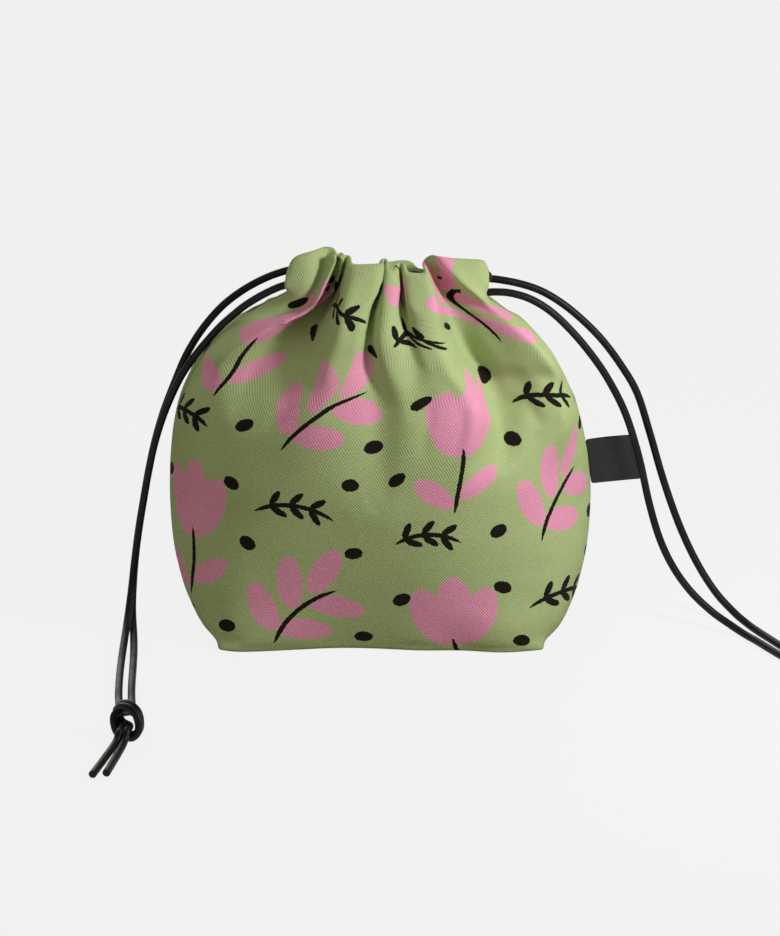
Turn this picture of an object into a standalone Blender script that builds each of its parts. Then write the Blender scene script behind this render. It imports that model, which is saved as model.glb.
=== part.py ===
"""Kinchaku drawstring pouch, standing full with its two drawstrings pulled tight.

Two canvas panels are sewn together at the sides and under the base, whose corners are boxed. The top of
each panel is folded into a casing, open at both ends. Each drawstring goes through both casings, and its
two ends leave together on one side, where they are tied into one knot with two short tails.

Metres, +Z up. The origin is the centre of the base's underside, and the front faces -Y.
"""

import math

import bmesh
import bpy
from mathutils import Vector

# The cloth. The seam lies a little behind the middle, so that the origin is on the front panel's cloth.
BASE_WIDTH = 0.154
BASE_DEPTH = 0.104
WALL = 0.0014
GAP = 0.0003
SEAM_Y = 0.002

# The drawn neck: the casing's seam line, its height and how far the two casings stand apart
CASING_SEAM_Z = 0.157
CASING_HEIGHT = 0.0215
EAR_RISE = 0.004
MOUTH_HALF_GAP = 0.0065
CASING_END_Y = 0.0147
SLIT_BOTTOM_Z = 0.138
NECK_MIDDLE_X = 0.004
NECK_HALF_WIDTH = 0.0425

# The channel inside each casing
CHANNEL_Y = 0.011
CHANNEL_HALF_DEPTH = 0.0026
CHANNEL_MIDDLE_Z = 0.1670
CHANNEL_HALF_HEIGHT = 0.0078

# The pleats that the drawn casing sends down into the cloth
PLEATS = 5
PLEAT_DEPTH = 0.0016
PLEAT_FOOT_Z = 0.112

# Level sections of the filled pouch: height, middle in x, half width, half depth, squareness
SECTIONS = (
    (0.0000, 0.0005, 0.5 * BASE_WIDTH - 0.002, 0.5 * BASE_DEPTH - 0.0020, 6.0),
    (0.0035, 0.0005, 0.5 * BASE_WIDTH + 0.003, 0.5 * BASE_DEPTH + 0.0002, 5.0),
    (0.0110, 0.0005, 0.0880, 0.0545, 3.7),
    (0.0270, 0.0000, 0.0945, 0.0575, 2.9),
    (0.0600, -0.0005, 0.0993, 0.0595, 2.35),
    (0.0850, -0.0010, 0.0975, 0.0580, 2.25),
    (0.1050, -0.0025, 0.0945, 0.0545, 2.2),
    (0.1200, -0.0032, 0.0872, 0.0485, 2.2),
    (0.1350, -0.0036, 0.0772, 0.0405, 2.2),
    (0.1460, -0.0020, 0.0665, 0.0310, 2.3),
    (0.1530, 0.0015, 0.0530, 0.0230, 2.6),
    (CASING_SEAM_Z, NECK_MIDDLE_X, NECK_HALF_WIDTH, 0.0185, 3.0),
)
ROW_HEIGHTS = (0.0, 0.0015, 0.0035, 0.0110, 0.0200, 0.0330, 0.0480, 0.0620, 0.0760, 0.0900, 0.1030, 0.1130,
               0.1220, 0.1305, 0.1380, 0.1450, 0.1500, 0.1538, CASING_SEAM_Z)
COLUMNS = 34
RING_POINTS = 11

# The woven label in the right side seam
LABEL_LENGTH = 0.0225
LABEL_HEIGHT = 0.0225
LABEL_THICKNESS = 0.0010
LABEL_ROOT = (0.0990, SEAM_Y, 0.0758)
LABEL_TILT = math.radians(9.0)

# The drawstrings: the left one runs above the right one in both casings
CORD_DIAMETER = 0.0036
CORD_SPACING = 0.0090
LEFT_RUN_Z = 0.1685
RIGHT_RUN_Z = 0.1640
CASING_LEFT_X = NECK_MIDDLE_X - NECK_HALF_WIDTH
CASING_RIGHT_X = NECK_MIDDLE_X + NECK_HALF_WIDTH
TURN_LENGTH = 0.0075

# Where each free strand lies, from the casing's end to its knot
LEFT_FRONT_ROUTE = (
    (-0.0388, -0.0110, 0.1685), (-0.0415, -0.0110, 0.1684), (-0.0450, -0.0110, 0.1676),
    (-0.0496, -0.0108, 0.1658), (-0.0563, -0.0102, 0.1621), (-0.0636, -0.0096, 0.1572),
    (-0.0690, -0.0090, 0.1525), (-0.0744, -0.0085, 0.1475), (-0.0800, -0.0082, 0.1412),
    (-0.0860, -0.0080, 0.1338), (-0.0917, -0.0080, 0.1257), (-0.0965, -0.0080, 0.1170),
    (-0.1023, -0.0084, 0.1035), (-0.1068, -0.0090, 0.0895), (-0.1101, -0.0098, 0.0750),
    (-0.1128, -0.0110, 0.0604), (-0.1152, -0.0130, 0.0459), (-0.1172, -0.0165, 0.0319),
    (-0.1184, -0.0215, 0.0212), (-0.1194, -0.0280, 0.0136), (-0.1202, -0.0360, 0.0083),
    (-0.1208, -0.0470, 0.0047), (-0.1212, -0.0610, 0.0026), (-0.1212, -0.0760, 0.0021),
    (-0.1209, -0.0930, 0.0021), (-0.1202, -0.1110, 0.0021), (-0.1189, -0.1270, 0.0030),
    (-0.1172, -0.1405, 0.0060),
)
LEFT_BACK_ROUTE = (
    (-0.0388, 0.0110, 0.1685), (-0.0415, 0.0110, 0.1684), (-0.0456, 0.0110, 0.1675),
    (-0.0518, 0.0108, 0.1654), (-0.0587, 0.0102, 0.1623), (-0.0659, 0.0092, 0.1582),
    (-0.0731, 0.0078, 0.1530), (-0.0786, 0.0062, 0.1478), (-0.0840, 0.0043, 0.1415),
    (-0.0885, 0.0027, 0.1350), (-0.0927, 0.0012, 0.1275), (-0.0966, 0.0001, 0.1183),
    (-0.1027, -0.0012, 0.1026), (-0.1071, -0.0022, 0.0878), (-0.1104, -0.0034, 0.0730),
    (-0.1131, -0.0049, 0.0583), (-0.1156, -0.0070, 0.0437), (-0.1174, -0.0105, 0.0297),
    (-0.1182, -0.0155, 0.0189), (-0.1184, -0.0220, 0.0115), (-0.1178, -0.0310, 0.0068),
    (-0.1168, -0.0430, 0.0038), (-0.1160, -0.0580, 0.0022), (-0.1154, -0.0770, 0.0021),
    (-0.1149, -0.0970, 0.0021), (-0.1142, -0.1130, 0.0021), (-0.1130, -0.1280, 0.0030),
    (-0.1118, -0.1405, 0.0060),
)
RIGHT_BACK_ROUTE = (
    (0.0468, 0.0110, 0.1640), (0.0495, 0.0110, 0.1640), (0.0560, 0.0111, 0.1633),
    (0.0660, 0.0112, 0.1612), (0.0757, 0.0112, 0.1577), (0.0854, 0.0110, 0.1518),
    (0.0951, 0.0108, 0.1437), (0.1049, 0.0104, 0.1335), (0.1140, 0.0098, 0.1211),
    (0.1218, 0.0089, 0.1075), (0.1281, 0.0075, 0.0880), (0.1346, 0.0048, 0.0660),
    (0.1425, 0.0010, 0.0440), (0.1508, -0.0045, 0.0270), (0.1595, -0.0108, 0.0143),
    (0.1680, -0.0178, 0.0065), (0.1748, -0.0260, 0.0030), (0.1800, -0.0345, 0.0021),
    (0.1847, -0.0437, 0.0021), (0.1897, -0.0535, 0.0021), (0.1952, -0.0635, 0.0021),
    (0.2010, -0.0735, 0.0021), (0.2068, -0.0830, 0.0030), (0.2118, -0.0905, 0.0060),
)
RIGHT_FRONT_ROUTE = (
    (0.0468, -0.0110, 0.1640), (0.0495, -0.0110, 0.1641), (0.0540, -0.0111, 0.1644),
    (0.0610, -0.0112, 0.1638), (0.0702, -0.0112, 0.1608), (0.0798, -0.0112, 0.1546),
    (0.0895, -0.0110, 0.1450), (0.0990, -0.0108, 0.1332), (0.1072, -0.0105, 0.1206),
    (0.1155, -0.0102, 0.1036), (0.1222, -0.0105, 0.0820), (0.1272, -0.0117, 0.0600),
    (0.1326, -0.0138, 0.0420), (0.1392, -0.0167, 0.0285), (0.1475, -0.0202, 0.0176),
    (0.1572, -0.0244, 0.0092), (0.1658, -0.0298, 0.0045), (0.1724, -0.0370, 0.0024),
    (0.1779, -0.0455, 0.0021), (0.1833, -0.0555, 0.0021), (0.1892, -0.0660, 0.0021),
    (0.1953, -0.0765, 0.0021), (0.2014, -0.0860, 0.0030), (0.2066, -0.0932, 0.0060),
)

# Each knot is a rounded lump with two tails that lie on the ground
KNOT_HALF_SIZES = (0.0105, 0.0120, 0.0070)
KNOT_REST_Z = 0.0074
LEFT_KNOT = (-0.1140, -0.1530, KNOT_REST_Z)
LEFT_KNOT_TURN = math.radians(-7.0)
RIGHT_KNOT = (0.2165, -0.1020, KNOT_REST_Z)
RIGHT_KNOT_TURN = math.radians(30.0)
LEFT_TAILS = (
    ((-0.1160, -0.1560, 0.0060), (-0.1185, -0.1680, 0.0030),
     (-0.1225, -0.1830, 0.0021), (-0.1268, -0.2005, 0.0021)),
    ((-0.1120, -0.1560, 0.0060), (-0.1150, -0.1690, 0.0030),
     (-0.1180, -0.1840, 0.0021), (-0.1208, -0.1990, 0.0021)),
)
RIGHT_TAILS = (
    ((0.2160, -0.1050, 0.0060), (0.2215, -0.1160, 0.0030), (0.2290, -0.1280, 0.0021), (0.2370, -0.1420, 0.0021)),
    ((0.2195, -0.1030, 0.0060), (0.2270, -0.1125, 0.0030), (0.2355, -0.1230, 0.0021), (0.2450, -0.1355, 0.0021)),
)

SAGE_CANVAS = (0.36, 0.47, 0.22, 1.0)
LABEL_BLACK = (0.010, 0.012, 0.015, 1.0)
CORD_BLACK = (0.012, 0.014, 0.018, 1.0)


def clear_scene():
    """Remove whatever the scene holds."""
    for thing in list(bpy.data.objects):
        bpy.data.objects.remove(thing, do_unlink=True)


def make_material(name, colour, roughness):
    """A plain non-metal finish."""
    material = bpy.data.materials.new(name)
    material.use_nodes = True
    shader = material.node_tree.nodes["Principled BSDF"]
    shader.inputs["Base Color"].default_value = colour
    shader.inputs["Roughness"].default_value = roughness
    shader.inputs["Metallic"].default_value = 0.0
    return material


def add_mesh(name, mesh, material):
    """Put a mesh in the scene as one named object."""
    mesh.materials.clear()
    mesh.materials.append(material)
    thing = bpy.data.objects.new(name, mesh)
    bpy.context.scene.collection.objects.link(thing)
    return thing


def ease(value, start, end):
    """0 at start, 1 at end, level at both."""
    t = min(max((value - start) / (end - start), 0.0), 1.0)
    return t * t * (3.0 - 2.0 * t)


def mix(first, second, share):
    """A value between two others."""
    return first + (second - first) * share


def rounded_power(value, squareness):
    """A cosine or sine pushed outwards, so that a circle becomes a rounded rectangle."""
    return math.copysign(abs(value) ** (2.0 / squareness), value)


def curve_through(points, places):
    """Points on the smooth curve through a list of points, at places from 0 to len(points) - 1."""
    found = []
    for place in places:
        index = min(int(place), len(points) - 2)
        t = place - index
        before = points[max(index - 1, 0)]
        start = points[index]
        end = points[index + 1]
        after = points[min(index + 2, len(points) - 1)]
        found.append(tuple(
            0.5 * (2 * b + (c - a) * t + (2 * a - 5 * b + 4 * c - d) * t * t + (3 * b - a - 3 * c + d) * t ** 3)
            for a, b, c, d in zip(before, start, end, after)
        ))
    return found


def section_at(height):
    """The pouch's middle, half width, half depth and squareness at a height."""
    index = max(i for i in range(len(SECTIONS) - 1) if SECTIONS[i][0] <= height)
    start, end = SECTIONS[index], SECTIONS[index + 1]
    place = index + (height - start[0]) / (end[0] - start[0])
    return curve_through(SECTIONS, [place])[0][1:]


def pleat(across, height):
    """How far the drawn cloth stands proud at a share of the way across, at a height."""
    fade = ease(height, PLEAT_FOOT_Z, CASING_SEAM_Z) * math.sin(math.pi * across)
    return PLEAT_DEPTH * fade * math.cos(2.0 * math.pi * PLEATS * (across - 0.5))


def wall_point(side, across, height, inner):
    """A point of a panel's outer or inner face, from the left seam (0) to the right seam (1).

    side is -1 at the front and 1 at the back, and inner chooses the face towards the inside.
    """
    middle, half_width, half_depth, squareness = section_at(height)
    neck = ease(height, SLIT_BOTTOM_Z, CASING_SEAM_Z)
    angle = math.pi * across
    seam = 0.5 * GAP + side * SEAM_Y
    if inner:
        half_width -= WALL * (1.0 - neck)
        seam = mix(seam, MOUTH_HALF_GAP, neck)
        half_depth = mix(half_depth - WALL, MOUTH_HALF_GAP, neck)
        proud = 0.0
    else:
        seam = mix(seam, CASING_END_Y, neck)
        proud = pleat(across, height)
    x = middle - half_width * rounded_power(math.cos(angle), squareness)
    y = seam + (half_depth - seam) * rounded_power(math.sin(angle), squareness) + proud
    return Vector((x, side * y, max(height, WALL) if inner else height))


def casing_ring(side, across):
    """The casing's outline at one column, from its outer seam line over the top to the inner one."""
    outer = wall_point(side, across, CASING_SEAM_Z, inner=False)
    inner = wall_point(side, across, CASING_SEAM_Z, inner=True)
    middle_y = 0.5 * (outer.y + inner.y)
    half = 0.5 * (outer.y - inner.y)
    rise = CASING_HEIGHT + EAR_RISE * abs(2.0 * across - 1.0) ** 4
    ring = []
    for index in range(RING_POINTS):
        angle = math.pi * index / (RING_POINTS - 1)
        ring.append(Vector((
            mix(outer.x, inner.x, index / (RING_POINTS - 1)),
            middle_y + half * rounded_power(math.cos(angle), 3.5),
            CASING_SEAM_Z + rise * rounded_power(math.sin(angle), 3.5),
        )))
    ring[0], ring[-1] = outer, inner
    return ring


def channel_ring(side, across):
    """The channel's outline at one column, matched point for point with the casing's."""
    x = wall_point(side, across, CASING_SEAM_Z, inner=True).x
    ring = []
    for index in range(RING_POINTS):
        angle = math.radians(mix(-55.0, 235.0, index / (RING_POINTS - 1)))
        ring.append(Vector((
            x,
            side * (CHANNEL_Y + CHANNEL_HALF_DEPTH * rounded_power(math.cos(angle), 4.0)),
            CHANNEL_MIDDLE_Z + CHANNEL_HALF_HEIGHT * rounded_power(math.sin(angle), 4.0),
        )))
    return ring


def sweep(mesh, lines, closed):
    """Join a list of point lines, one per column, with faces."""
    rows = [[mesh.verts.new(point) for point in line] for line in lines]
    for first, second in zip(rows, rows[1:]):
        count = len(first)
        for index in range(count if closed else count - 1):
            after = (index + 1) % count
            mesh.faces.new((first[index], first[after], second[after], second[index]))
    return rows


def make_panel(name, side, material):
    """One panel with its half of the base and its casing. side is -1 at the front and 1 at the back."""
    columns = [index / COLUMNS for index in range(COLUMNS + 1)]
    mesh = bmesh.new()
    outline = sweep(mesh, [
        [wall_point(side, across, height, inner=False) for height in ROW_HEIGHTS]
        + casing_ring(side, across)[1:-1]
        + [wall_point(side, across, height, inner=True) for height in reversed(ROW_HEIGHTS) if height >= WALL]
        for across in columns
    ], closed=False)
    channel = sweep(mesh, [channel_ring(side, across) for across in columns], closed=True)

    # The base: the underside, its upper face, and the edge along the seam under the pouch
    mesh.faces.new([line[0] for line in outline])
    mesh.faces.new([line[-1] for line in outline])
    mesh.faces.new((outline[0][0], outline[-1][0], outline[-1][-1], outline[0][-1]))

    # The two cut ends: the side seam, then the ring around the channel's mouth
    seam = len(ROW_HEIGHTS) - 1
    for line, hole in ((outline[0], channel[0]), (outline[-1], channel[-1])):
        inner_count = len(line) - (seam + RING_POINTS)
        outer_side = line[:seam + 1]
        inner_side = line[seam + RING_POINTS - 1:][::-1]
        skipped = len(outer_side) - len(inner_side)
        mesh.faces.new(outer_side[:skipped + 1] + [inner_side[0]])
        for index in range(inner_count):
            low = index + skipped
            mesh.faces.new((outer_side[low], outer_side[low + 1], inner_side[index + 1], inner_side[index]))
        ring = line[seam:seam + RING_POINTS]
        for index in range(RING_POINTS - 1):
            mesh.faces.new((ring[index], ring[index + 1], hole[index + 1], hole[index]))
        mesh.faces.new((ring[-1], ring[0], hole[0], hole[-1]))

    bmesh.ops.recalc_face_normals(mesh, faces=mesh.faces)
    data = bpy.data.meshes.new(name)
    mesh.to_mesh(data)
    mesh.free()
    data.shade_smooth()
    data.set_sharp_from_angle(angle=math.radians(40.0))
    return add_mesh(name, data, material)


def make_label(material):
    """The folded woven tab that stands out of the right side seam."""
    mesh = bmesh.new()
    bmesh.ops.create_cube(mesh, size=1.0)
    bmesh.ops.scale(mesh, vec=(LABEL_LENGTH, LABEL_THICKNESS, LABEL_HEIGHT), verts=mesh.verts)
    bmesh.ops.translate(mesh, vec=(0.5 * LABEL_LENGTH, 0.0, 0.0), verts=mesh.verts)
    data = bpy.data.meshes.new("side_label")
    mesh.to_mesh(data)
    mesh.free()
    label = add_mesh("side_label", data, material)
    label.location = LABEL_ROOT
    label.rotation_euler = (0.0, -LABEL_TILT, 0.0)
    return label


def make_cord(name, route, material):
    """A round cord along a smooth curve through a route's points."""
    rough_length = sum((Vector(b) - Vector(a)).length for a, b in zip(route, route[1:]))
    count = max(int(rough_length / CORD_SPACING), 4)
    places = [(len(route) - 1) * index / count for index in range(count + 1)]
    points = curve_through(route, places)
    curve = bpy.data.curves.new(name, "CURVE")
    curve.dimensions = "3D"
    curve.bevel_depth = 0.5 * CORD_DIAMETER
    curve.bevel_resolution = 2
    curve.use_fill_caps = True
    spline = curve.splines.new("POLY")
    spline.points.add(len(points) - 1)
    for spot, point in zip(spline.points, points):
        spot.co = (*point, 1.0)
    curve.materials.append(material)
    cord = bpy.data.objects.new(name, curve)
    bpy.context.scene.collection.objects.link(cord)
    return cord


def drawn_run_route(free_end_x, turn_end_x, height):
    """A drawstring's way inside the casings: in at the front, around the far side, back at the rear."""
    away = math.copysign(1.0, turn_end_x - free_end_x)
    inside = [mix(free_end_x, turn_end_x, share) for share in (0.0, 0.25, 0.5, 0.75, 0.95)]
    front = [(x, -CHANNEL_Y, height) for x in inside]
    turn = []
    for degrees in range(-90, 91, 20):
        angle = math.radians(degrees)
        turn.append((
            turn_end_x + away * (0.001 + TURN_LENGTH * math.cos(angle)),
            CHANNEL_Y * math.sin(angle),
            height,
        ))
    back = [(x, CHANNEL_Y, height) for x in reversed(inside)]
    return front + turn + back


def make_knot(name, centre, turn, tails, material):
    """The knot as one lump with both of its tails."""
    mesh = bmesh.new()
    bmesh.ops.create_uvsphere(mesh, u_segments=18, v_segments=10, radius=1.0)
    bmesh.ops.scale(mesh, vec=KNOT_HALF_SIZES, verts=mesh.verts)
    data = bpy.data.meshes.new(name)
    mesh.to_mesh(data)
    mesh.free()
    data.shade_smooth()
    knot = add_mesh(name, data, material)
    knot.location = centre
    knot.rotation_euler = (0.0, 0.0, turn)
    for number, route in enumerate(tails, start=1):
        joined = knot.modifiers.new(f"tail {number}", "BOOLEAN")
        joined.operation = "UNION"
        joined.object = make_guide(make_cord(f"{name}_tail_{number}", route, material))
    return knot


def make_guide(cord):
    """Turn a cord into a hidden mesh of its tube, for a Boolean to read."""
    depsgraph = bpy.context.evaluated_depsgraph_get()
    data = bpy.data.meshes.new_from_object(cord.evaluated_get(depsgraph))
    guide = bpy.data.objects.new(f"{cord.name}_guide", data)
    bpy.context.scene.collection.objects.link(guide)
    guide.hide_render = True
    guide.display_type = "WIRE"
    bpy.data.objects.remove(cord, do_unlink=True)
    return guide


def build():
    """Make the whole pouch."""
    clear_scene()
    canvas = make_material("printed cotton canvas", SAGE_CANVAS, 0.85)
    woven = make_material("woven polyester label", LABEL_BLACK, 0.7)
    waxed = make_material("waxed round cord", CORD_BLACK, 0.45)

    make_panel("front_panel", -1.0, canvas)
    make_panel("back_panel", 1.0, canvas)
    make_label(woven)

    make_cord("left_drawstring_run", drawn_run_route(CASING_LEFT_X, CASING_RIGHT_X, LEFT_RUN_Z), waxed)
    make_cord("left_front_strand", LEFT_FRONT_ROUTE, waxed)
    make_cord("left_back_strand", LEFT_BACK_ROUTE, waxed)
    make_knot("left_knot", LEFT_KNOT, LEFT_KNOT_TURN, LEFT_TAILS, waxed)

    make_cord("right_drawstring_run", drawn_run_route(CASING_RIGHT_X, CASING_LEFT_X, RIGHT_RUN_Z), waxed)
    make_cord("right_front_strand", RIGHT_FRONT_ROUTE, waxed)
    make_cord("right_back_strand", RIGHT_BACK_ROUTE, waxed)
    make_knot("right_knot", RIGHT_KNOT, RIGHT_KNOT_TURN, RIGHT_TAILS, waxed)


build()
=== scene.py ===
"""Looks of a kinchaku drawstring pouch: printed canvas, gathered on two waxed drawstrings.

Metres, +Z up. The pouch stands on z = 0, its front faces -Y and its label is on the +X side.
"""

import logging
import math
from dataclasses import dataclass
from enum import Enum

import bpy
import numpy as np
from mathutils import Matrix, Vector


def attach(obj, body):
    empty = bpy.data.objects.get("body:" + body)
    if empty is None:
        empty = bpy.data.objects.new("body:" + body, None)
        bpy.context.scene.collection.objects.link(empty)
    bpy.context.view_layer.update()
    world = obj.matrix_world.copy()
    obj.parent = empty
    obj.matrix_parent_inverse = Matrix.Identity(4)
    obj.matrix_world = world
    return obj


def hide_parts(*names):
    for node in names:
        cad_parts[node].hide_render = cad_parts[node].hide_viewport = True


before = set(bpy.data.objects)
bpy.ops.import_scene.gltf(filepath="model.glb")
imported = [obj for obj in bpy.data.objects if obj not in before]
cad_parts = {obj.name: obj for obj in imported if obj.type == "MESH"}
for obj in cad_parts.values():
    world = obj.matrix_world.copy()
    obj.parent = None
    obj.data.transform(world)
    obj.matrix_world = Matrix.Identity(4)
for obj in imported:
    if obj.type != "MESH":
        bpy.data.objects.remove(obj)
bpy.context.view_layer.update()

log = logging.getLogger("pouch")

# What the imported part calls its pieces, and where the drawstrings lie, as the part's own source has them.
CORD_DIAMETER = 0.0036
LEFT_RUN_Z = 0.1685
RIGHT_RUN_Z = 0.1640
LEFT_FRONT_ROUTE = (
    (-0.0388, -0.0110, 0.1685), (-0.0415, -0.0110, 0.1684), (-0.0450, -0.0110, 0.1676),
    (-0.0496, -0.0108, 0.1658), (-0.0563, -0.0102, 0.1621), (-0.0636, -0.0096, 0.1572),
    (-0.0690, -0.0090, 0.1525), (-0.0744, -0.0085, 0.1475), (-0.0800, -0.0082, 0.1412),
    (-0.0860, -0.0080, 0.1338), (-0.0917, -0.0080, 0.1257), (-0.0965, -0.0080, 0.1170),
    (-0.1023, -0.0084, 0.1035), (-0.1068, -0.0090, 0.0895), (-0.1101, -0.0098, 0.0750),
    (-0.1128, -0.0110, 0.0604), (-0.1152, -0.0130, 0.0459), (-0.1172, -0.0165, 0.0319),
    (-0.1184, -0.0215, 0.0212), (-0.1194, -0.0280, 0.0136), (-0.1202, -0.0360, 0.0083),
    (-0.1208, -0.0470, 0.0047), (-0.1212, -0.0610, 0.0026), (-0.1212, -0.0760, 0.0021),
    (-0.1209, -0.0930, 0.0021), (-0.1202, -0.1110, 0.0021), (-0.1189, -0.1270, 0.0030),
    (-0.1172, -0.1405, 0.0060),
)
LEFT_BACK_ROUTE = (
    (-0.0388, 0.0110, 0.1685), (-0.0415, 0.0110, 0.1684), (-0.0456, 0.0110, 0.1675),
    (-0.0518, 0.0108, 0.1654), (-0.0587, 0.0102, 0.1623), (-0.0659, 0.0092, 0.1582),
    (-0.0731, 0.0078, 0.1530), (-0.0786, 0.0062, 0.1478), (-0.0840, 0.0043, 0.1415),
    (-0.0885, 0.0027, 0.1350), (-0.0927, 0.0012, 0.1275), (-0.0966, 0.0001, 0.1183),
    (-0.1027, -0.0012, 0.1026), (-0.1071, -0.0022, 0.0878), (-0.1104, -0.0034, 0.0730),
    (-0.1131, -0.0049, 0.0583), (-0.1156, -0.0070, 0.0437), (-0.1174, -0.0105, 0.0297),
    (-0.1182, -0.0155, 0.0189), (-0.1184, -0.0220, 0.0115), (-0.1178, -0.0310, 0.0068),
    (-0.1168, -0.0430, 0.0038), (-0.1160, -0.0580, 0.0022), (-0.1154, -0.0770, 0.0021),
    (-0.1149, -0.0970, 0.0021), (-0.1142, -0.1130, 0.0021), (-0.1130, -0.1280, 0.0030),
    (-0.1118, -0.1405, 0.0060),
)
RIGHT_BACK_ROUTE = (
    (0.0468, 0.0110, 0.1640), (0.0495, 0.0110, 0.1640), (0.0560, 0.0111, 0.1633),
    (0.0660, 0.0112, 0.1612), (0.0757, 0.0112, 0.1577), (0.0854, 0.0110, 0.1518),
    (0.0951, 0.0108, 0.1437), (0.1049, 0.0104, 0.1335), (0.1140, 0.0098, 0.1211),
    (0.1218, 0.0089, 0.1075), (0.1281, 0.0075, 0.0880), (0.1346, 0.0048, 0.0660),
    (0.1425, 0.0010, 0.0440), (0.1508, -0.0045, 0.0270), (0.1595, -0.0108, 0.0143),
    (0.1680, -0.0178, 0.0065), (0.1748, -0.0260, 0.0030), (0.1800, -0.0345, 0.0021),
    (0.1847, -0.0437, 0.0021), (0.1897, -0.0535, 0.0021), (0.1952, -0.0635, 0.0021),
    (0.2010, -0.0735, 0.0021), (0.2068, -0.0830, 0.0030), (0.2118, -0.0905, 0.0060),
)
RIGHT_FRONT_ROUTE = (
    (0.0468, -0.0110, 0.1640), (0.0495, -0.0110, 0.1641), (0.0540, -0.0111, 0.1644),
    (0.0610, -0.0112, 0.1638), (0.0702, -0.0112, 0.1608), (0.0798, -0.0112, 0.1546),
    (0.0895, -0.0110, 0.1450), (0.0990, -0.0108, 0.1332), (0.1072, -0.0105, 0.1206),
    (0.1155, -0.0102, 0.1036), (0.1222, -0.0105, 0.0820), (0.1272, -0.0117, 0.0600),
    (0.1326, -0.0138, 0.0420), (0.1392, -0.0167, 0.0285), (0.1475, -0.0202, 0.0176),
    (0.1572, -0.0244, 0.0092), (0.1658, -0.0298, 0.0045), (0.1724, -0.0370, 0.0024),
    (0.1779, -0.0455, 0.0021), (0.1833, -0.0555, 0.0021), (0.1892, -0.0660, 0.0021),
    (0.1953, -0.0765, 0.0021), (0.2014, -0.0860, 0.0030), (0.2066, -0.0932, 0.0060),
)
LEFT_KNOT = (-0.1140, -0.1530, 0.0074)
RIGHT_KNOT = (0.2165, -0.1020, 0.0074)
LEFT_TAILS = (
    ((-0.1160, -0.1560, 0.0060), (-0.1185, -0.1680, 0.0030),
     (-0.1225, -0.1830, 0.0021), (-0.1268, -0.2005, 0.0021)),
    ((-0.1120, -0.1560, 0.0060), (-0.1150, -0.1690, 0.0030),
     (-0.1180, -0.1840, 0.0021), (-0.1208, -0.1990, 0.0021)),
)
RIGHT_TAILS = (
    ((0.2160, -0.1050, 0.0060), (0.2215, -0.1160, 0.0030), (0.2290, -0.1280, 0.0021), (0.2370, -0.1420, 0.0021)),
    ((0.2195, -0.1030, 0.0060), (0.2270, -0.1125, 0.0030), (0.2355, -0.1230, 0.0021), (0.2450, -0.1355, 0.0021)),
)


class Side(Enum):
    """Which of the two panels a thing belongs to; the value is the sign of its y."""

    FRONT = -1
    BACK = 1


def linear(code: str) -> tuple[float, float, float, float]:
    """Turn a screen colour into the linear one that a shader takes.

    Args:
        code: Six hex digits.

    Returns:
        Red, green, blue and an alpha of 1.
    """
    parts = [int(code[i:i + 2], 16) / 255 for i in (0, 2, 4)]
    return (*(c / 12.92 if c <= 0.04045 else ((c + 0.055) / 1.055) ** 2.4 for c in parts), 1.0)


def smooth_line(points: tuple, per_span: int) -> np.ndarray:
    """Lay a smooth curve through points.

    Args:
        points: The points, each with two or three numbers.
        per_span: How many steps the curve takes between two of them.

    Returns:
        The curve's points, one per row.
    """
    pts = np.asarray(points, float)
    padded = np.concatenate([pts[:1], pts, pts[-1:]])
    t = np.linspace(0.0, 1.0, per_span, endpoint=False)[:, None]
    spans = []
    for a, b, c, d in zip(padded, padded[1:], padded[2:], padded[3:]):
        spans.append(0.5 * (2 * b + (c - a) * t + (2 * a - 5 * b + 4 * c - d) * t ** 2
                            + (3 * b - a - 3 * c + d) * t ** 3))
    return np.concatenate([*spans, pts[-1:]])


def line_length(line: np.ndarray) -> float:
    """Return the length of a line of points."""
    return float(np.linalg.norm(np.diff(line, axis=0), axis=1).sum())


def spread(line: np.ndarray, shares: np.ndarray) -> np.ndarray:
    """Take points at shares of a line's own length.

    Args:
        line: The line's points.
        shares: Places along it, from 0 to 1.

    Returns:
        One point for each share.
    """
    along = np.concatenate([[0.0], np.cumsum(np.linalg.norm(np.diff(line, axis=0), axis=1))])
    return np.stack([np.interp(shares * along[-1], along, line[:, k]) for k in range(line.shape[1])], axis=1)


def ease(value: np.ndarray, start: float, end: float) -> np.ndarray:
    """Rise from 0 at start to 1 at end, level at both."""
    t = np.clip((value - start) / (end - start), 0.0, 1.0)
    return t * t * (3.0 - 2.0 * t)


def clear_selection() -> None:
    """Leave edit mode and deselect everything."""
    if bpy.context.object is not None and bpy.context.object.mode != "OBJECT":
        bpy.ops.object.mode_set(mode="OBJECT")
    bpy.ops.object.select_all(action="DESELECT")


def pick(*things: bpy.types.Object) -> None:
    """Select only these objects, the first one active."""
    clear_selection()
    for thing in things:
        thing.select_set(True)
    bpy.context.view_layer.objects.active = things[0]


def edit_points(thing: bpy.types.Object, chosen: np.ndarray) -> None:
    """Enter edit mode with only these points selected.

    Args:
        thing: The object.
        chosen: True for each point that is wanted.
    """
    pick(thing)
    bpy.ops.object.mode_set(mode="EDIT")
    bpy.ops.mesh.select_mode(type="VERT")
    bpy.ops.mesh.select_all(action="DESELECT")
    bpy.ops.object.mode_set(mode="OBJECT")
    thing.data.vertices.foreach_set("select", chosen)
    bpy.ops.object.mode_set(mode="EDIT")


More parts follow.
